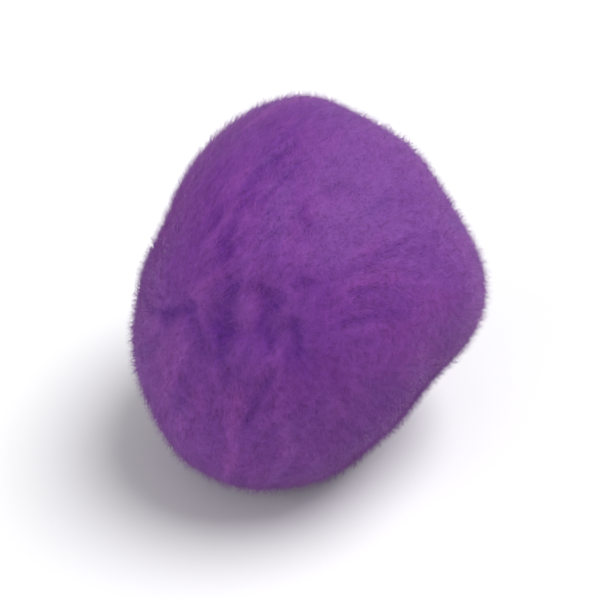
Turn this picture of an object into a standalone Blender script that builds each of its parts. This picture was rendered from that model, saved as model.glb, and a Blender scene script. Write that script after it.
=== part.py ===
"""Craft pom pom: one ball of fluffed fibre, as locks that spread from the heart where they are tied.

Metres, +Z up. The ball rests on the surface z = 0, on a small flat spot around the origin. Its near
side faces an eye that looks along +Y and down by VIEW_TILT, and its outline is given as that eye sees it.
"""

import math
import random

import bmesh
import bpy
from mathutils import Matrix, Vector, noise

# Driving dimensions
BALL_HEIGHT = 0.052  # top to bottom, as the eye sees it
BALL_DEPTH = 0.046  # near side to far side
REST_RADIUS = 0.0085  # of the flat spot that it rests on
LOCK_SHARE = 0.985  # the locks' reach, as a share of the ball's: the finest fuzz stands beyond them
HEART_SHARE = 0.50  # the fused heart's reach, as a share of the locks'
VIEW_TILT = math.radians(37)

# The ball's edge as the eye sees it, from the heart. The angle runs anticlockwise from the right,
# in even steps, and the reach is a share of half the ball's height.
OUTLINE = (
    # angle_deg, reach_share
    (0, 0.925),
    (30, 0.900),
    (60, 0.955),
    (90, 1.015),
    (120, 0.900),
    (150, 0.765),
    (180, 0.825),
    (210, 0.905),
    (240, 1.005),
    (270, 0.930),
    (300, 0.800),
    (330, 0.765),
)

# Out of the outline's plane the ball grows rounder: the outline's reach nears this share of half the
# ball's height, by the share of a direction that lies in the plane, to this power.
ROUND_SHARE = 0.875
ROUND_POWER = 4

# Creases where the fibre parts, on the near side: straight lines, as the eye sees them from the heart.
CREASES = (
    # from_across_m, from_up_m, to_across_m, to_up_m, width_m, depth_m
    (-0.0190, 0.0000, -0.0090, -0.0026, 0.0026, 0.0004),
    (-0.0090, -0.0026, -0.0016, -0.0042, 0.0024, 0.0006),
    (-0.0050, 0.0012, -0.0034, -0.0028, 0.0020, 0.0005),
    (-0.0030, 0.0165, 0.0042, 0.0132, 0.0020, 0.0004),
    (-0.0006, 0.0125, -0.0012, 0.0080, 0.0018, 0.0004),
)

# The strands are combed away from a parting on the near side, with a slight turn round it.
PARTING_ACROSS = -0.0080
PARTING_UP = -0.0022
PARTING_TURN = 0.30

# Low unevenness of the whole ball
UNEVEN_SHARE = 0.022
UNEVEN_SCALE = 2.6

# Round the flat spot the ball is even, so that it stands level: within the first angle from straight
# down, and fading out by the second.
EVEN_ANGLE = math.radians(24)
EVEN_FADE_ANGLE = math.radians(46)

# Locks. The ball is a cube's six sides blown round, each cut into rows and columns of cells,
# and each cell grows one four-sided lock: 6 * 7 * 7 = 294.
CELLS_PER_SIDE = 7
SEED = 5
CORNER_WANDER = 0.25  # how far a cell's corners stray, as a share of a cell
STRAY_SCALE = 5.3  # of the noise that the corners stray by, read at a place of its own for each axis
STRAY_OFFSETS = (3.1, 17.7, 41.9)
LENGTH_WANDER = 0.010  # how much longer or shorter a lock is, as a share of its reach
TIP_TWIST = math.radians(28)
TIP_LEAN = math.radians(7)  # how far the tips are combed over, seen from the heart

# One lock's rings, from its root on the heart to its tip. The reach is a share of the lock's own.
LOCK_RINGS = (
    # reach_share, cell_share, twist_share
    (HEART_SHARE, 0.60, 0.0),
    (0.82, 0.90, 0.0),
    (0.94, 0.68, 0.6),
    (1.00, 0.28, 1.0),
)
REST_BELOW = 0.0004  # a lock whose tip comes this low is one that the ball rests on
REST_TIP_CELL_SHARE = 0.72  # and spreads its tip on the surface this wide
TIP_CLEARANCE = 0.0005  # under the tips that just miss the surface

FIBRE_COLOUR = (0.145, 0.040, 0.250, 1.0)

VIEW_RIGHT = Vector((1, 0, 0))
VIEW_UP = Vector((0, math.sin(VIEW_TILT), math.cos(VIEW_TILT)))
VIEW_TOWARD = Vector((0, -math.cos(VIEW_TILT), math.sin(VIEW_TILT)))
DOWN = Vector((0, 0, -1))
CELL_ANGLE = math.radians(90) / CELLS_PER_SIDE


def clear_scene():
    for found in list(bpy.data.objects):
        bpy.data.objects.remove(found, do_unlink=True)


def outline_reach(angle):
    """Reach of the outline at an angle in radians, as a smooth curve through OUTLINE's rows."""
    step = math.tau / len(OUTLINE)
    row, part = divmod(angle % math.tau, step)
    part /= step
    before, start, end, after = (
        OUTLINE[(int(row) + offset) % len(OUTLINE)][1] for offset in (-1, 0, 1, 2)
    )
    rise = (end - before) / 2
    next_rise = (after - start) / 2
    share = (
        start
        + rise * part
        + (3 * (end - start) - 2 * rise - next_rise) * part**2
        + (2 * (start - end) + rise + next_rise) * part**3
    )
    return share * BALL_HEIGHT / 2


def apart_from_line(across, up, start_across, start_up, end_across, end_up):
    """Distance of a place from a straight line between two others."""
    run = end_across - start_across
    rise = end_up - start_up
    share = ((across - start_across) * run + (up - start_up) * rise) / (run**2 + rise**2)
    share = min(1, max(0, share))
    return math.hypot(across - start_across - share * run, up - start_up - share * rise)


def crease_depth(across, up, toward):
    """How deep the creases cut at a place on the near side."""
    if toward <= 0:
        return 0.0
    return sum(
        depth * math.exp(-((apart_from_line(across, up, *line) / width) ** 2))
        for *line, width, depth in CREASES
    )


def free_reach(direction):
    """Distance from the heart to the ball's surface, before it is set down."""
    across = direction.dot(VIEW_RIGHT)
    up = direction.dot(VIEW_UP)
    toward = direction.dot(VIEW_TOWARD)
    in_plane = math.hypot(across, up)
    round_reach = ROUND_SHARE * BALL_HEIGHT / 2
    apart = outline_reach(math.atan2(up, across)) - round_reach
    edge = round_reach + apart * in_plane**ROUND_POWER
    reach = 1 / math.hypot(in_plane / edge, 2 * toward / BALL_DEPTH)
    reach *= 1 + UNEVEN_SHARE * noise.noise(direction * UNEVEN_SCALE)
    return reach - crease_depth(across * reach, up * reach, toward)


def ball_reach(direction):
    """Distance from the heart to the ball's surface, along a unit direction."""
    part = (direction.angle(DOWN) - EVEN_ANGLE) / (EVEN_FADE_ANGLE - EVEN_ANGLE)
    part = min(1, max(0, part))
    free_share = part * part * (3 - 2 * part)
    return free_share * free_reach(direction) + (1 - free_share) * free_reach(DOWN)


def heart_place():
    """The heart sits where the flat spot gets its radius."""
    reach = ball_reach(DOWN)
    return Vector((0, 0, math.sqrt(reach**2 - REST_RADIUS**2)))


def parting_direction():
    """From the heart to the parting, which lies on the near side of the ball."""
    toward = math.sqrt((BALL_DEPTH / 2) ** 2 - PARTING_ACROSS**2 - PARTING_UP**2)
    place = VIEW_RIGHT * PARTING_ACROSS + VIEW_UP * PARTING_UP + VIEW_TOWARD * toward
    return place.normalized()


def combed(direction, growth):
    """A direction carried over by the combing: not at the roots, by about TIP_LEAN at the tips.

    It grows away from the parting, and there is none near the flat spot.
    """
    parting = parting_direction()
    push = direction.cross(parting) * PARTING_TURN - parting
    freed = min(1, max(0, direction.angle(DOWN) / EVEN_FADE_ANGLE - 1))
    return (direction + push * math.tan(TIP_LEAN) * growth**1.5 * freed).normalized()


def side_frames():
    """The six cube sides, each as its outward, column and row directions."""
    for axis in range(3):
        for sign in (1, -1):
            outward = Vector([sign * (i == axis) for i in range(3)])
            column = Vector([float(i == (axis + 1) % 3) for i in range(3)])
            yield outward, column, outward.cross(column)


def corner_direction(outward, column, row, column_number, row_number):
    """Direction of a corner of the cells: evenly spaced as angles, then strayed a little."""
    column_angle = (column_number - CELLS_PER_SIDE / 2) * CELL_ANGLE
    row_angle = (row_number - CELLS_PER_SIDE / 2) * CELL_ANGLE
    straight = outward + column * math.tan(column_angle) + row * math.tan(row_angle)
    straight.normalize()
    calm = min(1, straight.angle(DOWN) / math.radians(60)) ** 2
    place = straight * STRAY_SCALE
    stray = Vector([noise.noise(place + Vector((offset, 0, 0))) for offset in STRAY_OFFSETS])
    return (straight + stray * CORNER_WANDER * 2 * CELL_ANGLE * calm).normalized()


def cells():
    """Each cell as its four corner directions, anticlockwise from outside."""
    for outward, column, row in side_frames():
        for i in range(CELLS_PER_SIDE):
            for j in range(CELLS_PER_SIDE):
                steps = ((i, j), (i + 1, j), (i + 1, j + 1), (i, j + 1))
                yield [corner_direction(outward, column, row, *step) for step in steps]


def lock_points(corners, heart, chance):
    """A lock's rings of four points each, root first. One that the ball stands on ends level at z = 0."""
    middle = sum(corners, Vector()).normalized()
    own_length = chance.uniform(-1, 1) * LENGTH_WANDER
    own_twist = chance.uniform(-1, 1) * TIP_TWIST
    resting = (heart + middle * ball_reach(middle)).z < REST_BELOW
    if resting:
        own_length = 0
        own_twist = 0
    rings = []
    for reach_share, cell_share, twist_share in LOCK_RINGS:
        is_tip = reach_share == 1
        if resting and is_tip:
            cell_share = REST_TIP_CELL_SHARE
        growth = (reach_share - HEART_SHARE) / (1 - HEART_SHARE)
        turn = Matrix.Rotation(own_twist * twist_share, 3, middle)
        ring = []
        for corner in corners:
            direction = (middle + turn @ ((corner - middle) * cell_share)).normalized()
            direction = combed(direction, growth)
            reach = ball_reach(direction) * LOCK_SHARE * (1 + own_length * growth)
            if resting:
                reach = heart.z / -direction.z
            point = heart + direction * reach * reach_share
            if is_tip:
                point.z = 0 if resting else max(point.z, TIP_CLEARANCE)
            ring.append(point)
        rings.append(ring)
    return rings


def build_pom_pom(material):
    heart = heart_place()
    chance = random.Random(SEED)
    shape = bmesh.new()
    shared = {}

    def shared_corner(direction):
        """The cells' corners on the heart, one vertex where cells meet."""
        key = tuple(round(part, 5) for part in direction)
        if key not in shared:
            reach = ball_reach(direction) * LOCK_SHARE * HEART_SHARE
            shared[key] = shape.verts.new(heart + direction * reach)
        return shared[key]

    def skirt(lower, upper):
        for i in range(4):
            j = (i + 1) % 4
            shape.faces.new((lower[i], lower[j], upper[j], upper[i]))

    for corners in cells():
        ring = [shared_corner(corner) for corner in corners]
        for points in lock_points(corners, heart, chance):
            outer_ring = [shape.verts.new(point) for point in points]
            skirt(ring, outer_ring)
            ring = outer_ring
        shape.faces.new(ring)
    bmesh.ops.triangulate(shape, faces=shape.faces)

    mesh = bpy.data.meshes.new("pom_pom")
    shape.to_mesh(mesh)
    shape.free()
    mesh.materials.append(material)
    ball = bpy.data.objects.new("pom_pom", mesh)
    bpy.context.scene.collection.objects.link(ball)
    return ball


def fibre_material():
    material = bpy.data.materials.new("fibre")
    material.use_nodes = True
    shader = material.node_tree.nodes["Principled BSDF"]
    shader.inputs["Base Color"].default_value = FIBRE_COLOUR
    shader.inputs["Roughness"].default_value = 0.95
    return material


clear_scene()
build_pom_pom(fibre_material())
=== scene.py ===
"""Looks of the craft pom pom: a dense ball of fluffed fibre, strand by strand, on a pale floor.

Metres, +Z up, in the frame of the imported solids. The ball's outline and creases repeat the solids' own
named values, so the fluff follows the locks and ends just beyond them. The parting is a line here, and
the point that the solids part from lies close to its middle.
"""

import math

import bpy
import numpy as np
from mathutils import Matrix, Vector, noise


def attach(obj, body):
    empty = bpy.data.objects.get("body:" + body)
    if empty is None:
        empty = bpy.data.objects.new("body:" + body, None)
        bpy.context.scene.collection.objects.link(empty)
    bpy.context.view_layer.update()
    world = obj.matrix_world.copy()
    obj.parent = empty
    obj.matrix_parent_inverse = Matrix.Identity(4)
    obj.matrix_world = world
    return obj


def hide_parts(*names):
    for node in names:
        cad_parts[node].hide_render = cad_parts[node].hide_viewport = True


# The ball, as in the solids
BALL_HEIGHT = 0.052  # top to bottom, as the eye sees it
BALL_DEPTH = 0.046  # near side to far side
HALF_HEIGHT = BALL_HEIGHT / 2
REST_RADIUS = 0.0085  # of the flat spot that it rests on
VIEW_TILT = math.radians(37)  # how far the eye looks down

# The ball's edge as the eye sees it, from the heart. The angle runs anticlockwise from the right,
# in even steps, and the reach is a share of half the ball's height.
OUTLINE = (
    # angle_deg, reach_share
    (0, 0.925),
    (30, 0.900),
    (60, 0.955),
    (90, 1.015),
    (120, 0.900),
    (150, 0.765),
    (180, 0.825),
    (210, 0.905),
    (240, 1.005),
    (270, 0.930),
    (300, 0.800),
    (330, 0.765),
)

# Creases where the fibre parts, on the near side: straight lines, as the eye sees them from the heart.
CREASES = (
    # from_across_m, from_up_m, to_across_m, to_up_m, width_m, depth_m
    (-0.0190, 0.0000, -0.0090, -0.0026, 0.0026, 0.0004),
    (-0.0090, -0.0026, -0.0016, -0.0042, 0.0024, 0.0006),
    (-0.0050, 0.0012, -0.0034, -0.0028, 0.0020, 0.0005),
    (-0.0030, 0.0165, 0.0042, 0.0132, 0.0020, 0.0004),
    (-0.0006, 0.0125, -0.0012, 0.0080, 0.0018, 0.0004),
)

# Out of the outline's plane the ball grows rounder: the outline's reach nears this share of half the
# ball's height, by the share of a direction that lies in the plane, to this power.
ROUND_SHARE = 0.875
ROUND_POWER = 4

# Low unevenness of the whole ball
UNEVEN_SHARE = 0.022
UNEVEN_SCALE = 2.6

# Round the flat spot the ball is even, so that it stands level: within the first angle from straight
# down, and fading out by the second.
EVEN_ANGLE = math.radians(24)
EVEN_FADE_ANGLE = math.radians(46)

# Directions: the eye's right, the eye's up, from the heart to the eye, and down
VIEW_RIGHT = np.array([1.0, 0.0, 0.0])
VIEW_UP = np.array([0.0, math.sin(VIEW_TILT), math.cos(VIEW_TILT)])
VIEW_TOWARD = np.array([0.0, -math.cos(VIEW_TILT), math.sin(VIEW_TILT)])
DOWN = np.array([0.0, 0.0, -1.0])
GOLDEN_TURN = math.pi * (3 - math.sqrt(5))  # from one point to the next, where they spread evenly

# The strands are combed away from a parting on the near side, with a slight turn round it. It is a
# straight line, as the eye sees it from the heart.
PARTING_LINE = (-0.0160, -0.0006, -0.0008, -0.0040)  # from_across_m, from_up_m, to_across_m, to_up_m
PARTING_TURN = 0.30
COMB_STRAY = 0.22
FAR_STRAY = 0.90  # on the far side, where the photograph shows no combing
STRAY_SCALE = 3.1
STRAY_OFFSETS = (11.3, 27.9, 43.1)  # where the noise is read, for each axis
UPRIGHT_SHARE = 0.30  # how far the strands lie over at the parting, as a share of elsewhere
UPRIGHT_REACH = 0.22  # of a sphere's radius from the parting, where they lie over in full

# A unit direction points towards the eye by -1 to 1. Below the first value it is on the far side, and
# the near side fades in over the second from there.
FAR_EDGE = -0.5
NEAR_FADE = 0.8

# Furrows: soft gaps in the fluff of the near side, as the eye sees them from the heart, with shade
# painted in them.
# Less than no depth makes a ridge, and less than no shade paints light along it. The first two are broad
# patches of painted tone alone, with no depth: painted shade round the parting and painted light on the
# right.
FURROWS = (
    # from_across_m, from_up_m, to_across_m, to_up_m, width_m, depth_m, painted_shade
    # painted shade round the parting, with no depth
    (-0.0100, -0.0036, 0.0002, -0.0050, 0.0034, 0.00000, 0.17),
    # painted light on the right side, with no depth
    (0.0096, -0.0040, 0.0150, -0.0030, 0.0050, 0.00000, -0.10),
    # furrows, with painted shade in them
    (-0.0036, 0.0009, -0.0027, -0.0005, 0.0010, 0.00036, 0.46),
    (-0.0006, 0.0023, 0.0012, 0.0020, 0.0006, 0.00012, 0.24),
    (-0.0004, -0.0026, 0.0002, -0.0058, 0.0008, 0.00020, 0.29),
    (-0.0042, -0.0016, -0.0036, -0.0054, 0.0008, 0.00018, 0.27),
    (-0.0090, 0.0068, -0.0086, -0.0036, 0.0010, 0.00018, 0.33),
    (-0.0096, -0.0040, -0.0090, -0.0100, 0.0009, 0.00020, 0.33),
    (-0.0126, -0.0030, -0.0114, -0.0064, 0.0008, 0.00024, 0.31),
    (-0.0160, -0.0018, -0.0132, -0.0010, 0.0009, 0.00030, 0.42),
    (-0.0108, -0.0100, -0.0104, -0.0165, 0.0010, 0.00008, 0.11),
    (-0.0058, -0.0095, -0.0052, -0.0200, 0.0010, 0.00008, 0.09),
    (-0.0136, -0.0080, -0.0136, -0.0120, 0.0008, 0.00012, 0.17),
    (-0.0046, 0.0164, -0.0010, 0.0186, 0.0008, 0.00018, 0.24),
    (-0.0044, 0.0148, -0.0018, 0.0151, 0.0007, 0.00012, 0.19),
    (0.0032, 0.0136, 0.0070, 0.0130, 0.0009, 0.00018, 0.22),
    (0.0090, 0.0108, 0.0124, 0.0126, 0.0012, 0.00006, 0.14),
    (-0.0004, 0.0108, 0.0008, 0.0084, 0.0009, 0.00018, 0.22),
    (0.0020, 0.0088, 0.0050, 0.0082, 0.0007, 0.00006, 0.12),
    (-0.0102, 0.0116, -0.0096, 0.0076, 0.0009, 0.00018, 0.20),
    # ridges, with painted light along them
    (-0.0061, 0.0058, -0.0060, -0.0022, 0.0011, -0.00010, -0.20),
    (-0.0076, 0.0096, -0.0048, 0.0092, 0.0013, -0.00012, -0.15),
    (-0.0148, -0.0036, -0.0142, -0.0086, 0.0009, -0.00012, -0.18),
    (-0.0128, 0.0016, -0.0116, -0.0012, 0.0008, -0.00012, -0.14),
    (-0.0018, 0.0068, 0.0006, 0.0046, 0.0012, -0.00006, -0.10),
    (-0.0026, -0.0075, -0.0016, -0.0190, 0.0011, -0.00012, -0.18),
    (-0.0084, -0.0105, -0.0082, -0.0195, 0.0010, -0.00006, -0.16),
    (-0.0168, -0.0060, -0.0150, -0.0160, 0.0012, -0.00006, -0.18),
)
FURROW_STRAY = 0.0009  # how far a furrow wanders from its straight line
FURROW_STRAY_SCALE = 11.0
FURROW_FINE_SCALE = 34.0
FURROW_FINE_SHARE = 0.5  # how far it wanders at the finer scale, as a share of the other
FURROW_OFFSETS = (61.7, 74.2)  # where the noise is read, across and up

# Streaks: long soft bands of strands that lie together, along the comb
STREAKS = 420
STREAK_SEED = 17
STREAK_JITTER = 0.03  # how far their places stray from even ones, of a sphere's radius
STREAK_STRETCH = 8.0  # how many times longer they are along the comb than across it
STREAK_STEP = 0.00012  # how much higher or lower the middle of a streak stands than the next
STREAK_TONE = 0.34
STREAK_WARMTH = 0.45
STREAK_EDGE = 0.0030  # the margin over the next streak at which one stands in full
STREAK_START = 0.18  # of a sphere's radius from the parting: nearer to it the streaks fade out
FAR_STREAK_SHARE = 0.5  # how strong they are on the far side

# Tufts: strands that have drifted together, longer along the comb than across it
TUFTS = 800
TUFT_SEED = 11
TUFT_JITTER = 0.022
TUFT_STRETCH = 4.5
TUFT_LENGTH = 0.0026  # from a tuft's middle to the place that its tips drift to
TUFT_VALLEY = 0.00009  # how deep the fluff is sunk between two tufts
TUFT_STEP = 0.00006  # how much higher or lower the middle of a tuft stands than the next
TUFT_TONE = 0.04
TUFT_EDGE = 0.008

# Wisps: the same, but finer, and over the tufts
WISPS = 6000
WISP_JITTER = 0.010
WISP_STRETCH = 5.0
WISP_LENGTH = 0.0013
WISP_STEP = 0.00005
WISP_TONE = 0.08

SITE_BATCH = 4000  # how many directions are measured against all the sites at once
TAKEN_SCORE = -9  # below any site's

# How far the strands clump. It changes over the ball, and is most at the left.
CLUMP_MEAN = 0.62
CLUMP_LEFT = 0.42
CLUMP_UP = 0.08
CLUMP_DRIFT = 0.8
CLUMP_SCALE = 2.2
CLUMP_OFFSET = 5.7
CLUMP_LEAST = 0.12

# Tone runs from 0, deep, to 1, light, and warmth from 0, cool, to 1, warm. Both drift over the ball.
MEAN_TONE = 0.66
TONE_DRIFT = 0.07
TONE_SCALE = 5.1
TONE_OFFSET = 3.3
MEAN_WARMTH = 0.5
WARMTH_DRIFT = 0.45
WARMTH_SCALE = 3.7
WARMTH_OFFSET = 9.1

# Strands. Each kind is a closed tapered tube, with lengths in metres. Its tips end from low to rise
# beyond the fluff, and its roots at root_depth under it. It lies over by lay, its tips wander by stray
# and its rings by crimp. The drifts are how far its tips are drawn to their wisp's and their tuft's,
# and outward_shading is how far it is shaded as the ball is, and not as a tube.
PILE = {
    "seed": 3,
    "count": 48000,
    "pieces": 3,
    "rings": 3,
    "low": -0.00016,
    "root_depth": 0.0011,
    "lay": 0.0013,
    "rise": 0.00050,
    "stray": 0.00050,
    "crimp": 0.00010,
    "wisp_drift": 0.20,
    "tuft_drift": 0.18,
    "radius": 0.000046,
    "taper": (1.0, 0.85, 0.0),
    "outward_shading": 0.66,
}
CURLS = {
    "seed": 4,
    "count": 5000,
    "pieces": 1,
    "rings": 5,
    "low": 0.0,
    "root_depth": 0.0010,
    "lay": 0.0016,
    "rise": 0.00110,
    "stray": 0.00110,
    "crimp": 0.00020,
    "wisp_drift": 0.12,
    "tuft_drift": 0.10,
    "radius": 0.000032,
    "taper": (1.0, 1.0, 0.9, 0.7, 0.0),
    "outward_shading": 0.6,
}
FUZZ = {
    "seed": 6,
    "count": 68000,
    "pieces": 2,
    "rings": 2,
    "low": 0.0,
    "root_depth": 0.0007,
    "lay": 0.0005,
    "rise": 0.00140,
    "stray": 0.00090,
    "crimp": 0.0,
    "wisp_drift": 0.08,
    "tuft_drift": 0.06,
    "radius": 0.000026,
    "taper": (1.0, 0.0),
    "outward_shading": 0.7,
}
STRAND_SIDES = 3
STRAND_JITTER = 0.004  # how far the strands' places stray from even ones, of a sphere's radius
STRAND_TONE = 0.18  # how much lighter or darker a strand is than the next
# Painted shade: each strand is darker at its root, deep in the fluff, and lighter at its tip.
ROOT_PAINTED_SHADE = 0.22  # how much lighter a strand's tip is than its root
OWN_TONE_AT = 0.6  # how far up a strand it has the fluff's own tone
LAY_SPREAD = (0.4, 1.4)  # how far one strand lies over, as a share of its kind's
LAY_LEAST = 0.5  # to which the clumping is added
RADIUS_SPREAD = (0.75, 1.2)
BEND_SHARE = 0.12  # of the root's depth, under the surface, and of the way from root to tip
FLOOR_STACK = 0.00035  # how thick the strands that are pressed on the floor lie
TINY = 1e-9  # keeps a direction from having no length

# A strand's cell in the bake sheet, in shares of the cell
CELL_EDGE = 0.15
CELL_SPAN = 0.7
CAP_SPREAD = 0.1  # opens the root cap, whose corners lie in a line otherwise

# The core: a closed ball of dense fibre under the strands
CORE_CELLS = 96  # along one side of the cube that is blown round to the core
CORE_DEPTH = 0.00012  # under the fluff's surface
CORE_LUMP = 0.00008
CORE_LUMP_SIZE = 0.0010
# Painted shade on the core: darker than the fluff over it, as shade deep under the strands.
CORE_PAINTED_SHADE = 0.18  # than the fluff's own tone
CORE_FLOOR_GAP = 0.0004  # from the core to the floor
CUBE_SIDES = 6
SAME_PLACE_DECIMALS = 6  # corners of two sides that agree to these are one point
SQUARE_EDGE = 0.02  # a side's square in the bake sheet, in shares of the square
SQUARE_SPAN = 0.96
SHEET_SQUARES = (3, 2)  # across, up

# Tone 0 is DEEP_PURPLE: the fibre's darker tone, and the colour towards which painted shade darkens it.
DEEP_PURPLE = (0.085, 0.004, 0.195, 1.0)
COOL_PURPLE = (0.222, 0.056, 0.328, 1.0)
WARM_PURPLE = (0.248, 0.049, 0.314, 1.0)
FIBRE_ROUGHNESS = 0.60
FIBRE_SPECULAR = 0.32
SHEEN_WEIGHT = 0.16
SHEEN_ROUGHNESS = 0.40
SHEEN_TINT = (1.0, 0.72, 1.0, 1.0)
GRAIN_SCALE = 3200
GRAIN_DETAIL = 3
GRAIN_STRENGTH = 0.6
GRAIN_HEIGHT = 0.00015
MIX_SHARE, MIX_FROM, MIX_TO = 0, 6, 7  # inputs of a Mix node that mixes colours
MIX_RESULT = 2  # and its output

FLOOR_WHITE = (0.74, 0.74, 0.75, 1.0)
FLOOR_ROUGHNESS = 0.7
FLOOR_HALF = 1.5
FLOOR_CORNERS = ((-1, -1), (1, -1), (1, 1), (-1, 1))

# Wide soft lights, each from its place towards the heart
SUNS = (
    # name, place_m, spread_deg, strength
    ("key", (0.18, 0.02, 0.42), 36, 2.85),
    ("fill", (-0.42, -0.34, 0.18), 60, 1.45),
    ("rim", (0.36, 0.34, 0.16), 50, 0.9),
)
WORLD_WHITE = (1.0, 1.0, 1.0, 1.0)
WORLD_STRENGTH = 0.45

CAMERA_LENS = 85
CAMERA_NEAREST = 0.01
BALL_FILL = 0.66  # of the picture's height


def unit(vectors):
    """The same directions, of length 1."""
    return vectors / np.linalg.norm(vectors, axis=-1, keepdims=True)


def smooth_step(values):
    """0 up to 0 and 1 from 1 on, with a smooth rise between."""
    values = np.clip(values, 0, 1)
    return values * values * (3 - 2 * values)


def sphere_points(count):
    """Evenly spread unit directions."""
    number = np.arange(count) + 0.5
    height = 1 - 2 * number / count
    ring = np.sqrt(1 - height**2)
    turn = number * GOLDEN_TURN
    return np.stack([ring * np.cos(turn), ring * np.sin(turn), height], axis=1)


def soft_noise(places):
    """Blender's own noise at many places."""
    return np.array([noise.noise(place) for place in places.tolist()])


def outline_reach(angles):
    """The outline's reach at angles, on a smooth curve through its rows."""
    shares = np.array([share for _, share in OUTLINE])
    steps = (angles % math.tau) / (math.tau / len(OUTLINE))
    row = np.floor(steps).astype(int)
    part = steps - row
    before, start, end, after = (shares[(row + offset) % len(shares)] for offset in (-1, 0, 1, 2))
    rise = (end - before) / 2
    next_rise = (after - start) / 2
    share = (
        start
        + rise * part
        + (3 * (end - start) - 2 * rise - next_rise) * part**2
        + (2 * (start - end) + rise + next_rise) * part**3
    )
    return share * HALF_HEIGHT


def apart_from_line(across, up, start_across, start_up, end_across, end_up):
    """Distances of places from a straight line between two others."""
    run = end_across - start_across
    rise = end_up - start_up
    share = ((across - start_across) * run + (up - start_up) * rise) / (run**2 + rise**2)
    share = np.clip(share, 0, 1)
    return np.hypot(across - start_across - share * run, up - start_up - share * rise)


def free_reach(directions):
    """Distance from the heart to the ball's surface, before it is made even round its flat spot."""
    across = directions @ VIEW_RIGHT
    up = directions @ VIEW_UP
    toward = directions @ VIEW_TOWARD
    in_plane = np.hypot(across, up)
    round_reach = ROUND_SHARE * HALF_HEIGHT
    apart = outline_reach(np.arctan2(up, across)) - round_reach
    edge = round_reach + apart * in_plane**ROUND_POWER
    reach = 1 / np.hypot(in_plane / edge, 2 * toward / BALL_DEPTH)
    reach *= 1 + UNEVEN_SHARE * soft_noise(directions * UNEVEN_SCALE)
    near = toward > 0
    cut = sum(
        depth * np.exp(-((apart_from_line(across * reach, up * reach, *line) / width) ** 2))
        for *line, width, depth in CREASES
    )
    return reach - np.where(near, cut, 0)


def angle_from_down(directions):
    """Angles of unit directions from straight down."""
    return np.arccos(np.clip(directions @ DOWN, -1, 1))


def ball_reach(directions):
    """Distance from the heart to the ball's surface, along unit directions."""
    even = free_reach(DOWN[None, :])[0]
    free_share = smooth_step(
        (angle_from_down(directions) - EVEN_ANGLE) / (EVEN_FADE_ANGLE - EVEN_ANGLE)
    )
    return free_share * free_reach(directions) + (1 - free_share) * even


def near_direction(across, up):
    """From the heart to a place on the near side, as the eye sees it."""
    toward = math.sqrt((BALL_DEPTH / 2) ** 2 - across**2 - up**2)
    return unit(VIEW_RIGHT * across + VIEW_UP * up + VIEW_TOWARD * toward)


def nearest_parting(directions):
    """The nearest place of the parting, as unit directions."""
    start = near_direction(*PARTING_LINE[:2])
    run = near_direction(*PARTING_LINE[2:]) - start
    share = np.clip((directions - start) @ run / (run @ run), 0, 1)
    return unit(start + share[:, None] * run)


def apart_from_parting(directions):
    """Distances from the parting, of a sphere's radius."""
    return np.linalg.norm(directions - nearest_parting(directions), axis=1)


def near_share(directions):
    """1 on the side that the photograph shows, fading to 0 on the far side."""
    return smooth_step((directions @ VIEW_TOWARD - FAR_EDGE) / NEAR_FADE)


def comb_field(directions):
    """Unit directions in which the strands are combed: away from the parting.

    They stray from that a little on the near side, and much on the far side.
    """
    parting = nearest_parting(directions)
    push = np.cross(directions, parting) * PARTING_TURN - parting
    swirl = [soft_noise(directions * STRAY_SCALE + offset) for offset in STRAY_OFFSETS]
    near = near_share(directions)[:, None]
    push = push + (COMB_STRAY * near + FAR_STRAY * (1 - near)) * np.stack(swirl, axis=1)
    push -= directions * np.sum(push * directions, axis=1, keepdims=True)
    return unit(push)


def nearest_sites(directions, comb, sites, stretch):
    """For each direction its nearest site, and its margin over the next one.

    The distance counts stretch times shorter along the comb than across it.
    """
    chosen = np.empty(len(directions), int)
    margin = np.empty(len(directions))
    sites = sites.astype(np.float32)
    for start in range(0, len(directions), SITE_BATCH):
        part = slice(start, start + SITE_BATCH)
        score = 2 * (directions[part].astype(np.float32) @ sites.T)
        score += (1 - 1 / stretch**2) * (comb[part].astype(np.float32) @ sites.T) ** 2
        best = score.argmax(axis=1)
        rows = np.arange(len(best))
        top = score[rows, best].copy()
        score[rows, best] = TAKEN_SCORE
        chosen[part] = best
        margin[part] = top - score.max(axis=1)
    return chosen, margin


def tuft_strength(directions):
    """How far the strands clump: much at the left, little on the smooth right side."""
    across = directions @ VIEW_RIGHT
    up = directions @ VIEW_UP
    drift = soft_noise(directions * CLUMP_SCALE + CLUMP_OFFSET)
    strength = CLUMP_MEAN - CLUMP_LEFT * across + CLUMP_UP * up + CLUMP_DRIFT * drift
    return np.clip(strength, CLUMP_LEAST, 1.0)


def streak_pattern(directions, comb):
    """How high the streaks stand along unit directions, and how warm they are, from -1 to 1."""
    chance = np.random.default_rng(STREAK_SEED)
    sites = unit(sphere_points(STREAKS) + chance.normal(0, STREAK_JITTER, (STREAKS, 3)))
    streak, margin = nearest_sites(directions, comb, sites, STREAK_STRETCH)
    started = smooth_step(apart_from_parting(directions) / STREAK_START)
    middle = smooth_step(margin / STREAK_EDGE) * started
    middle *= FAR_STREAK_SHARE + (1 - FAR_STREAK_SHARE) * near_share(directions)
    height = chance.uniform(-1, 1, STREAKS)[streak]
    warmth = chance.uniform(-1, 1, STREAKS)[streak]
    return height * middle, warmth * middle


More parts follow.
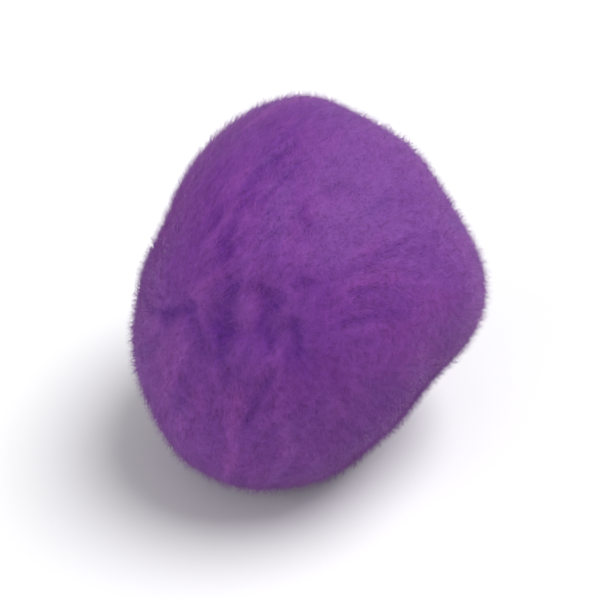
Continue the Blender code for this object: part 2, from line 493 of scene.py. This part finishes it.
def tuft_pattern(directions, comb):
    """The tips of each strand's tuft and wisp, as directions, how far they sink it, and its shade."""
    chance = np.random.default_rng(TUFT_SEED)
    tuft_sites = unit(sphere_points(TUFTS) + chance.normal(0, TUFT_JITTER, (TUFTS, 3)))
    tuft_tips = unit(tuft_sites + comb_field(tuft_sites) * TUFT_LENGTH / HALF_HEIGHT)
    tuft, margin = nearest_sites(directions, comb, tuft_sites, TUFT_STRETCH)
    wisp_sites = unit(sphere_points(WISPS) + chance.normal(0, WISP_JITTER, (WISPS, 3)))
    wisp_tips = unit(wisp_sites + comb_field(wisp_sites) * WISP_LENGTH / HALF_HEIGHT)
    wisp, _ = nearest_sites(directions, comb, wisp_sites, WISP_STRETCH)
    middle = smooth_step(margin / TUFT_EDGE)
    step = chance.uniform(-1, 1, TUFTS)[tuft] * middle
    wisp_step = chance.uniform(-1, 1, WISPS)[wisp]
    shade = TUFT_TONE * step + WISP_TONE * wisp_step
    depth = (1 - middle) * TUFT_VALLEY - step * TUFT_STEP - wisp_step * WISP_STEP
    return tuft_tips[tuft], wisp_tips[wisp], depth, shade


def furrows(directions, reach):
    """How deep the furrows cut the fluff along unit directions, and how much shade is painted in them;
    on ridges it is painted light.
    """
    across, up = (
        directions @ axis * reach
        + FURROW_STRAY * soft_noise(directions * FURROW_STRAY_SCALE + offset)
        + FURROW_STRAY * FURROW_FINE_SHARE * soft_noise(directions * FURROW_FINE_SCALE + offset)
        for axis, offset in zip((VIEW_RIGHT, VIEW_UP), FURROW_OFFSETS)
    )
    near = np.where(directions @ VIEW_TOWARD > 0, 1.0, 0.0)
    cut = 0
    furrow_shade = 0
    for *line, width, depth, shade in FURROWS:
        share = near * np.exp(-((apart_from_line(across, up, *line) / width) ** 2))
        cut = cut + share * depth
        # painted shade in the furrows, painted light along the ridges
        furrow_shade = furrow_shade + share * shade
    return cut, furrow_shade


def fluff(directions, comb):
    """The fluff along unit directions.

    Gives the tips of its tufts and wisps as directions, how far it is sunk, its tone with the furrows'
    painted shade and painted light, and its warmth.
    """
    strength = tuft_strength(directions)
    tuft_tips, wisp_tips, depth, shade = tuft_pattern(directions, comb)
    streak, warmth = streak_pattern(directions, comb)
    cut, furrow_shade = furrows(directions, ball_reach(directions))
    depth = (depth - streak * STREAK_STEP) * strength + cut
    mottle = TONE_DRIFT * soft_noise(directions * TONE_SCALE + TONE_OFFSET)
    # The furrows' painted shade and painted light go into the tone.
    tone = MEAN_TONE + mottle + (shade + streak * STREAK_TONE) * strength - furrow_shade
    drift = WARMTH_DRIFT * soft_noise(directions * WARMTH_SCALE + WARMTH_OFFSET)
    warmth = MEAN_WARMTH + warmth * STREAK_WARMTH + drift
    return tuft_tips, wisp_tips, depth, tone, warmth


def strand_paths(directions, heart, chance, kind):
    """Middle lines of strands, one point for each ring: out of the ball, then over along the comb."""
    count = len(directions)
    comb = comb_field(directions)
    strength = tuft_strength(directions)[:, None]
    tuft_tips, wisp_tips, sunk, tone, warmth = fluff(directions, comb)
    reach = ball_reach(directions)

    lay_share = smooth_step(apart_from_parting(directions) / UPRIGHT_REACH)[:, None]
    lay_share = UPRIGHT_SHARE + (1 - UPRIGHT_SHARE) * lay_share
    lay_angle = kind["lay"] / HALF_HEIGHT * chance.uniform(*LAY_SPREAD, (count, 1))
    lay_angle = lay_angle * (LAY_LEAST + strength) * lay_share
    tips = directions + comb * lay_angle
    tips = tips + (wisp_tips - tips) * kind["wisp_drift"]
    tips = tips + (tuft_tips - tips) * kind["tuft_drift"] * strength
    tips = unit(tips + chance.normal(0, kind["stray"] / HALF_HEIGHT, (count, 3)))

    root_depth = kind["root_depth"]
    tip_reach = ball_reach(tips) + chance.uniform(kind["low"], kind["rise"], count) - sunk
    root = directions * (reach - root_depth - sunk)[:, None]
    tip = tips * tip_reach[:, None]
    bend_reach = reach - BEND_SHARE * root_depth - sunk
    bend = directions * bend_reach[:, None] + (tip - root) * BEND_SHARE
    along = np.linspace(0, 1, kind["rings"])[None, :, None]
    path = root[:, None] * (1 - along) ** 2 + 2 * bend[:, None] * along * (1 - along)
    path = path + tip[:, None] * along**2
    crimp = chance.normal(0, 1, (count, kind["rings"], 3)) * kind["crimp"] * along
    return path + crimp + heart, tone, warmth


def rest_on_floor(path, chance, thickness):
    """Strands under the ball are pressed level on the floor."""
    low = thickness + chance.uniform(0, FLOOR_STACK, path.shape[:2])
    path[:, :, 2] = np.maximum(path[:, :, 2], low)
    return path


def strand_faces(body, sides):
    """One strand's triangles: a root cap, skirts from ring to ring, and a cone at the tip."""
    faces = [(0, 2, 1)]
    for ring in range(body - 1):
        for k in range(sides):
            a = ring * sides + k
            b = ring * sides + (k + 1) % sides
            faces += [(a, b, b + sides), (a, b + sides, a + sides)]
    last = (body - 1) * sides
    faces += [(last + k, last + (k + 1) % sides, body * sides) for k in range(sides)]
    return np.array(faces)


def strand_tubes(path, heart, radii, chance, outward):
    """Points and shading directions of tapered tubes round the paths, each ended by a point."""
    count, rings, _ = path.shape
    sides = STRAND_SIDES
    body = rings - 1
    along = unit(np.gradient(path, axis=1))
    out = unit(path - heart)
    side = unit(np.cross(along, out) + TINY)
    lift = np.cross(along, side)
    turn = chance.uniform(0, math.tau, (count, 1, 1))
    turn = turn + np.arange(sides)[None, None, :] * math.tau / sides
    round_tube = (
        side[:, :body, None] * np.cos(turn)[..., None] + lift[:, :body, None] * np.sin(turn)[..., None]
    )
    tube = path[:, :body, None] + round_tube * radii[:, :body, None, None]
    points = np.concatenate([tube.reshape(count, body * sides, 3), path[:, -1:]], axis=1)
    normals = outward * out[:, :body, None] + (1 - outward) * round_tube
    normals = np.concatenate([normals.reshape(count, body * sides, 3), out[:, -1:]], axis=1)
    return points, unit(normals)


def strand_sheet(count, rings, ring_of, faces):
    """The places of the strands' face corners in the bake sheet, with a cell for each strand."""
    side_of = np.append(np.tile(np.arange(STRAND_SIDES), rings - 1), 1)
    cells = math.ceil(math.sqrt(count))
    corner_u = (CELL_EDGE + CELL_SPAN * ring_of / (rings - 1))[faces]
    corner_v = (CELL_EDGE + CELL_SPAN * side_of / STRAND_SIDES)[faces]
    corner_u[0, 1] += CAP_SPREAD
    cell_u = np.arange(count) % cells
    cell_v = np.arange(count) // cells
    u = (cell_u[:, None] + corner_u.reshape(1, -1)) / cells
    v = (cell_v[:, None] + corner_v.reshape(1, -1)) / cells
    return np.stack([u, v], axis=-1)


def triangle_mesh(name, points, faces):
    """A smooth mesh of triangles, from arrays."""
    mesh = bpy.data.meshes.new(name)
    mesh.vertices.add(len(points))
    mesh.vertices.foreach_set("co", points.reshape(-1).astype(np.float32))
    mesh.loops.add(len(faces) * 3)
    mesh.loops.foreach_set("vertex_index", faces.reshape(-1).astype(np.int32))
    mesh.polygons.add(len(faces))
    mesh.polygons.foreach_set("loop_start", np.arange(0, len(faces) * 3, 3, dtype=np.int32))
    mesh.update(calc_edges=True)
    mesh.shade_smooth()
    return mesh


def add_bake_sheet(mesh, places):
    """The place of each face corner in the sheet that the mesh's colour is baked to."""
    layer = mesh.uv_layers.new(name="OFBake")
    layer.uv.foreach_set("vector", places.reshape(-1).astype(np.float32))


def add_values(mesh, name, values):
    """A number at each point of a mesh, which its material reads."""
    attribute = mesh.attributes.new(name, "FLOAT", "POINT")
    attribute.data.foreach_set("value", values.reshape(-1).astype(np.float32))


def add_object(name, data):
    """A new object of a mesh, a light or a camera, in the scene."""
    made = bpy.data.objects.new(name, data)
    bpy.context.scene.collection.objects.link(made)
    return made


def strand_mesh(name, path, heart, radii, tones, warmth, chance, outward):
    """Strands along the paths, as one object of closed tubes of STRAND_SIDES sides."""
    count, rings, _ = path.shape
    points, normals = strand_tubes(path, heart, radii, chance, outward)
    points_each = points.shape[1]
    faces = strand_faces(rings - 1, STRAND_SIDES)
    all_faces = (faces[None] + (np.arange(count) * points_each)[:, None, None]).reshape(-1, 3)
    ring_of = np.append(np.repeat(np.arange(rings - 1), STRAND_SIDES), rings - 1)

    mesh = triangle_mesh(name, points.reshape(-1, 3), all_faces)
    add_bake_sheet(mesh, strand_sheet(count, rings, ring_of, faces))
    add_values(mesh, "tone", tones[:, ring_of])
    add_values(mesh, "warmth", np.repeat(warmth, points_each))
    shading = mesh.attributes.new("custom_normal", "FLOAT_VECTOR", "POINT")
    shading.data.foreach_set("vector", normals.reshape(-1).astype(np.float32))
    return add_object(name, mesh)


def build_strands(name, kind, heart, material):
    """One kind of strand, spread over the ball, in its number of pieces."""
    chance = np.random.default_rng(kind["seed"])
    directions = sphere_points(kind["count"])
    directions = unit(directions + chance.normal(0, STRAND_JITTER, directions.shape))
    path, tone, warmth = strand_paths(directions, heart, chance, kind)
    path = rest_on_floor(path, chance, kind["radius"])
    radii = kind["radius"] * chance.uniform(*RADIUS_SPREAD, (len(directions), 1))
    radii = radii * np.array(kind["taper"])
    # painted shade: darker at the root and lighter at the tip
    tones = tone[:, None] + ROOT_PAINTED_SHADE * (np.linspace(0, 1, kind["rings"]) - OWN_TONE_AT)
    tones = tones + chance.normal(0, STRAND_TONE, (len(directions), 1))
    made = []
    for number in range(kind["pieces"]):
        part = slice(number, None, kind["pieces"])
        piece = strand_mesh(
            f"{name}_{number + 1}",
            path[part],
            heart,
            radii[part],
            tones[part],
            warmth[part],
            chance,
            kind["outward_shading"],
        )
        piece.data.materials.append(material)
        made.append(piece)
    return made


def cube_sphere(cells):
    """A cube blown round, each side cut into cells * cells four-sided faces.

    Gives unit directions, the faces, and the place of each face corner in a sheet of SHEET_SQUARES.
    """
    angles = (np.arange(cells + 1) / cells - 0.5) * math.pi / 2
    across, along = np.meshgrid(np.tan(angles), np.tan(angles), indexing="ij")
    column_number, row_number = np.meshgrid(np.arange(cells), np.arange(cells), indexing="ij")
    corner_steps = np.array([(0, 0), (1, 0), (1, 1), (0, 1)])
    corner_columns = column_number.reshape(-1, 1) + corner_steps[:, 0]
    corner_rows = row_number.reshape(-1, 1) + corner_steps[:, 1]
    square = corner_columns * (cells + 1) + corner_rows
    in_square = SQUARE_EDGE + SQUARE_SPAN * np.stack([corner_columns, corner_rows], axis=-1) / cells
    points = []
    faces = []
    places = []
    for number in range(CUBE_SIDES):
        outward = np.eye(3)[number // 2] * (1 - 2 * (number % 2))
        column = np.eye(3)[(number // 2 + 1) % 3]
        row = np.cross(outward, column)
        side = outward + across[..., None] * column + along[..., None] * row
        faces.append(square + number * (cells + 1) ** 2)
        points.append(side.reshape(-1, 3))
        square_place = [number % SHEET_SQUARES[0], number // SHEET_SQUARES[0]]
        places.append((in_square + square_place) / SHEET_SQUARES)
    directions = unit(np.concatenate(points))
    _, first, shared = np.unique(
        np.round(directions, SAME_PLACE_DECIMALS) + 0.0,
        axis=0,
        return_index=True,
        return_inverse=True,
    )
    return directions[first], shared.reshape(-1)[np.concatenate(faces)], np.concatenate(places)


def build_core(heart, material):
    """The dense fibre under the strands: a closed lumpy ball, darkened with painted shade."""
    directions, faces, places = cube_sphere(CORE_CELLS)
    _, _, sunk, tone, warmth = fluff(directions, comb_field(directions))
    lump = CORE_LUMP * soft_noise(directions * HALF_HEIGHT / CORE_LUMP_SIZE)
    points = directions * (ball_reach(directions) - CORE_DEPTH - sunk + lump)[:, None] + heart
    points[:, 2] = np.maximum(points[:, 2], CORE_FLOOR_GAP)
    mesh = bpy.data.meshes.new("fibre_core")
    mesh.from_pydata(points.tolist(), [], faces.tolist())
    mesh.shade_smooth()
    add_bake_sheet(mesh, places)
    # painted shade: the core is darker than the fluff over it
    add_values(mesh, "tone", tone - CORE_PAINTED_SHADE)
    add_values(mesh, "warmth", warmth)
    mesh.materials.append(material)
    return add_object("fibre_core", mesh)


def colour_mix(nodes):
    """A node that mixes two colours."""
    mix = nodes.new("ShaderNodeMix")
    mix.data_type = "RGBA"
    return mix


def mesh_value(nodes, name):
    """A node that reads a value of the mesh."""
    value = nodes.new("ShaderNodeAttribute")
    value.attribute_name = name
    return value


def fibre_material(name):
    """A soft matt fibre that takes its lightness from the mesh's tone, painted shade and light included,
    and its hue from its warmth.
    """
    material = bpy.data.materials.new(name)
    material.use_nodes = True
    nodes = material.node_tree.nodes
    links = material.node_tree.links
    shader = nodes["Principled BSDF"]
    tone = mesh_value(nodes, "tone")
    warmth = mesh_value(nodes, "warmth")
    tip = colour_mix(nodes)
    tip.inputs[MIX_FROM].default_value = COOL_PURPLE
    tip.inputs[MIX_TO].default_value = WARM_PURPLE
    mix = colour_mix(nodes)
    mix.inputs[MIX_FROM].default_value = DEEP_PURPLE
    links.new(warmth.outputs["Fac"], tip.inputs[MIX_SHARE])
    links.new(tone.outputs["Fac"], mix.inputs[MIX_SHARE])
    links.new(tip.outputs[MIX_RESULT], mix.inputs[MIX_TO])
    links.new(mix.outputs[MIX_RESULT], shader.inputs["Base Color"])
    shader.inputs["Roughness"].default_value = FIBRE_ROUGHNESS
    shader.inputs["Specular IOR Level"].default_value = FIBRE_SPECULAR
    shader.inputs["Sheen Weight"].default_value = SHEEN_WEIGHT
    shader.inputs["Sheen Roughness"].default_value = SHEEN_ROUGHNESS
    shader.inputs["Sheen Tint"].default_value = SHEEN_TINT
    return material


def core_material():
    """The same fibre, with a fine grain, where it shows between the strands."""
    material = fibre_material("core")
    nodes = material.node_tree.nodes
    links = material.node_tree.links
    place = nodes.new("ShaderNodeTexCoord")
    grain = nodes.new("ShaderNodeTexNoise")
    grain.inputs["Scale"].default_value = GRAIN_SCALE
    grain.inputs["Detail"].default_value = GRAIN_DETAIL
    bump = nodes.new("ShaderNodeBump")
    bump.inputs["Strength"].default_value = GRAIN_STRENGTH
    bump.inputs["Distance"].default_value = GRAIN_HEIGHT
    links.new(place.outputs["Object"], grain.inputs["Vector"])
    links.new(grain.outputs["Fac"], bump.inputs["Height"])
    links.new(bump.outputs["Normal"], nodes["Principled BSDF"].inputs["Normal"])
    return material


def build_floor():
    """A pale floor, which is no part of the ball."""
    mesh = bpy.data.meshes.new("floor")
    corners = [(across * FLOOR_HALF, along * FLOOR_HALF, 0) for across, along in FLOOR_CORNERS]
    mesh.from_pydata(corners, [], [(0, 1, 2, 3)])
    material = bpy.data.materials.new("floor_paper")
    material.use_nodes = True
    shader = material.node_tree.nodes["Principled BSDF"]
    shader.inputs["Base Color"].default_value = FLOOR_WHITE
    shader.inputs["Roughness"].default_value = FLOOR_ROUGHNESS
    mesh.materials.append(material)
    floor = add_object("floor", mesh)


def aim(thing, place, target):
    """Puts a light or a camera at a place and turns it to its target."""
    thing.location = place
    thing.rotation_mode = "QUATERNION"
    thing.rotation_quaternion = (Vector(target) - Vector(place)).to_track_quat("-Z", "Y")


def light_ball(heart):
    """An even white world and the suns, which light the floor as well far off as near the ball."""
    world = bpy.data.worlds.new("tent")
    world.use_nodes = True
    background = world.node_tree.nodes["Background"]
    background.inputs["Color"].default_value = WORLD_WHITE
    background.inputs["Strength"].default_value = WORLD_STRENGTH
    bpy.context.scene.world = world
    for name, place, spread, strength in SUNS:
        light = bpy.data.lights.new(name, "SUN")
        light.angle = math.radians(spread)
        light.energy = strength
        aim(add_object(name, light), place, heart)


def look_at_ball(heart):
    """The camera, at the photograph's angle, and plain colours."""
    scene = bpy.context.scene
    scene.view_settings.view_transform = "Standard"
    scene.view_settings.look = "None"
    camera = bpy.data.cameras.new("camera")
    camera.lens = CAMERA_LENS
    made = add_object("camera", camera)
    distance = BALL_HEIGHT / BALL_FILL * CAMERA_LENS / camera.sensor_width
    target = Vector(heart)
    aim(made, target + Vector(VIEW_TOWARD) * distance, target)
    camera.clip_start = CAMERA_NEAREST
    scene.camera = made


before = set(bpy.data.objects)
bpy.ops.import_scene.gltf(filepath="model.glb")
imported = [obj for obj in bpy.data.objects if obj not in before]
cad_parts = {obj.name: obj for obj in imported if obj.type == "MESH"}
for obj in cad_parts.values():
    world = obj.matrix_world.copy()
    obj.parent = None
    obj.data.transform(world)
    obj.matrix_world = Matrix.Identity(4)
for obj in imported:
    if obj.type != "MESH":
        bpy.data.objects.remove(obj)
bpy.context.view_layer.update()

down_reach = ball_reach(DOWN[None, :])[0]
heart_place = np.array([0.0, 0.0, math.sqrt(down_reach**2 - REST_RADIUS**2)])

core = build_core(heart_place, core_material())
strand_look = fibre_material("strands")
pile = build_strands("pile", PILE, heart_place, strand_look)
curls = build_strands("curls", CURLS, heart_place, strand_look)
fuzz = build_strands("fuzz", FUZZ, heart_place, strand_look)
for piece in [core, *pile, *curls, *fuzz]:
    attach(piece, "root")
    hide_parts("pom_pom")

build_floor()
light_ball(heart_place)
look_at_ball(heart_place)
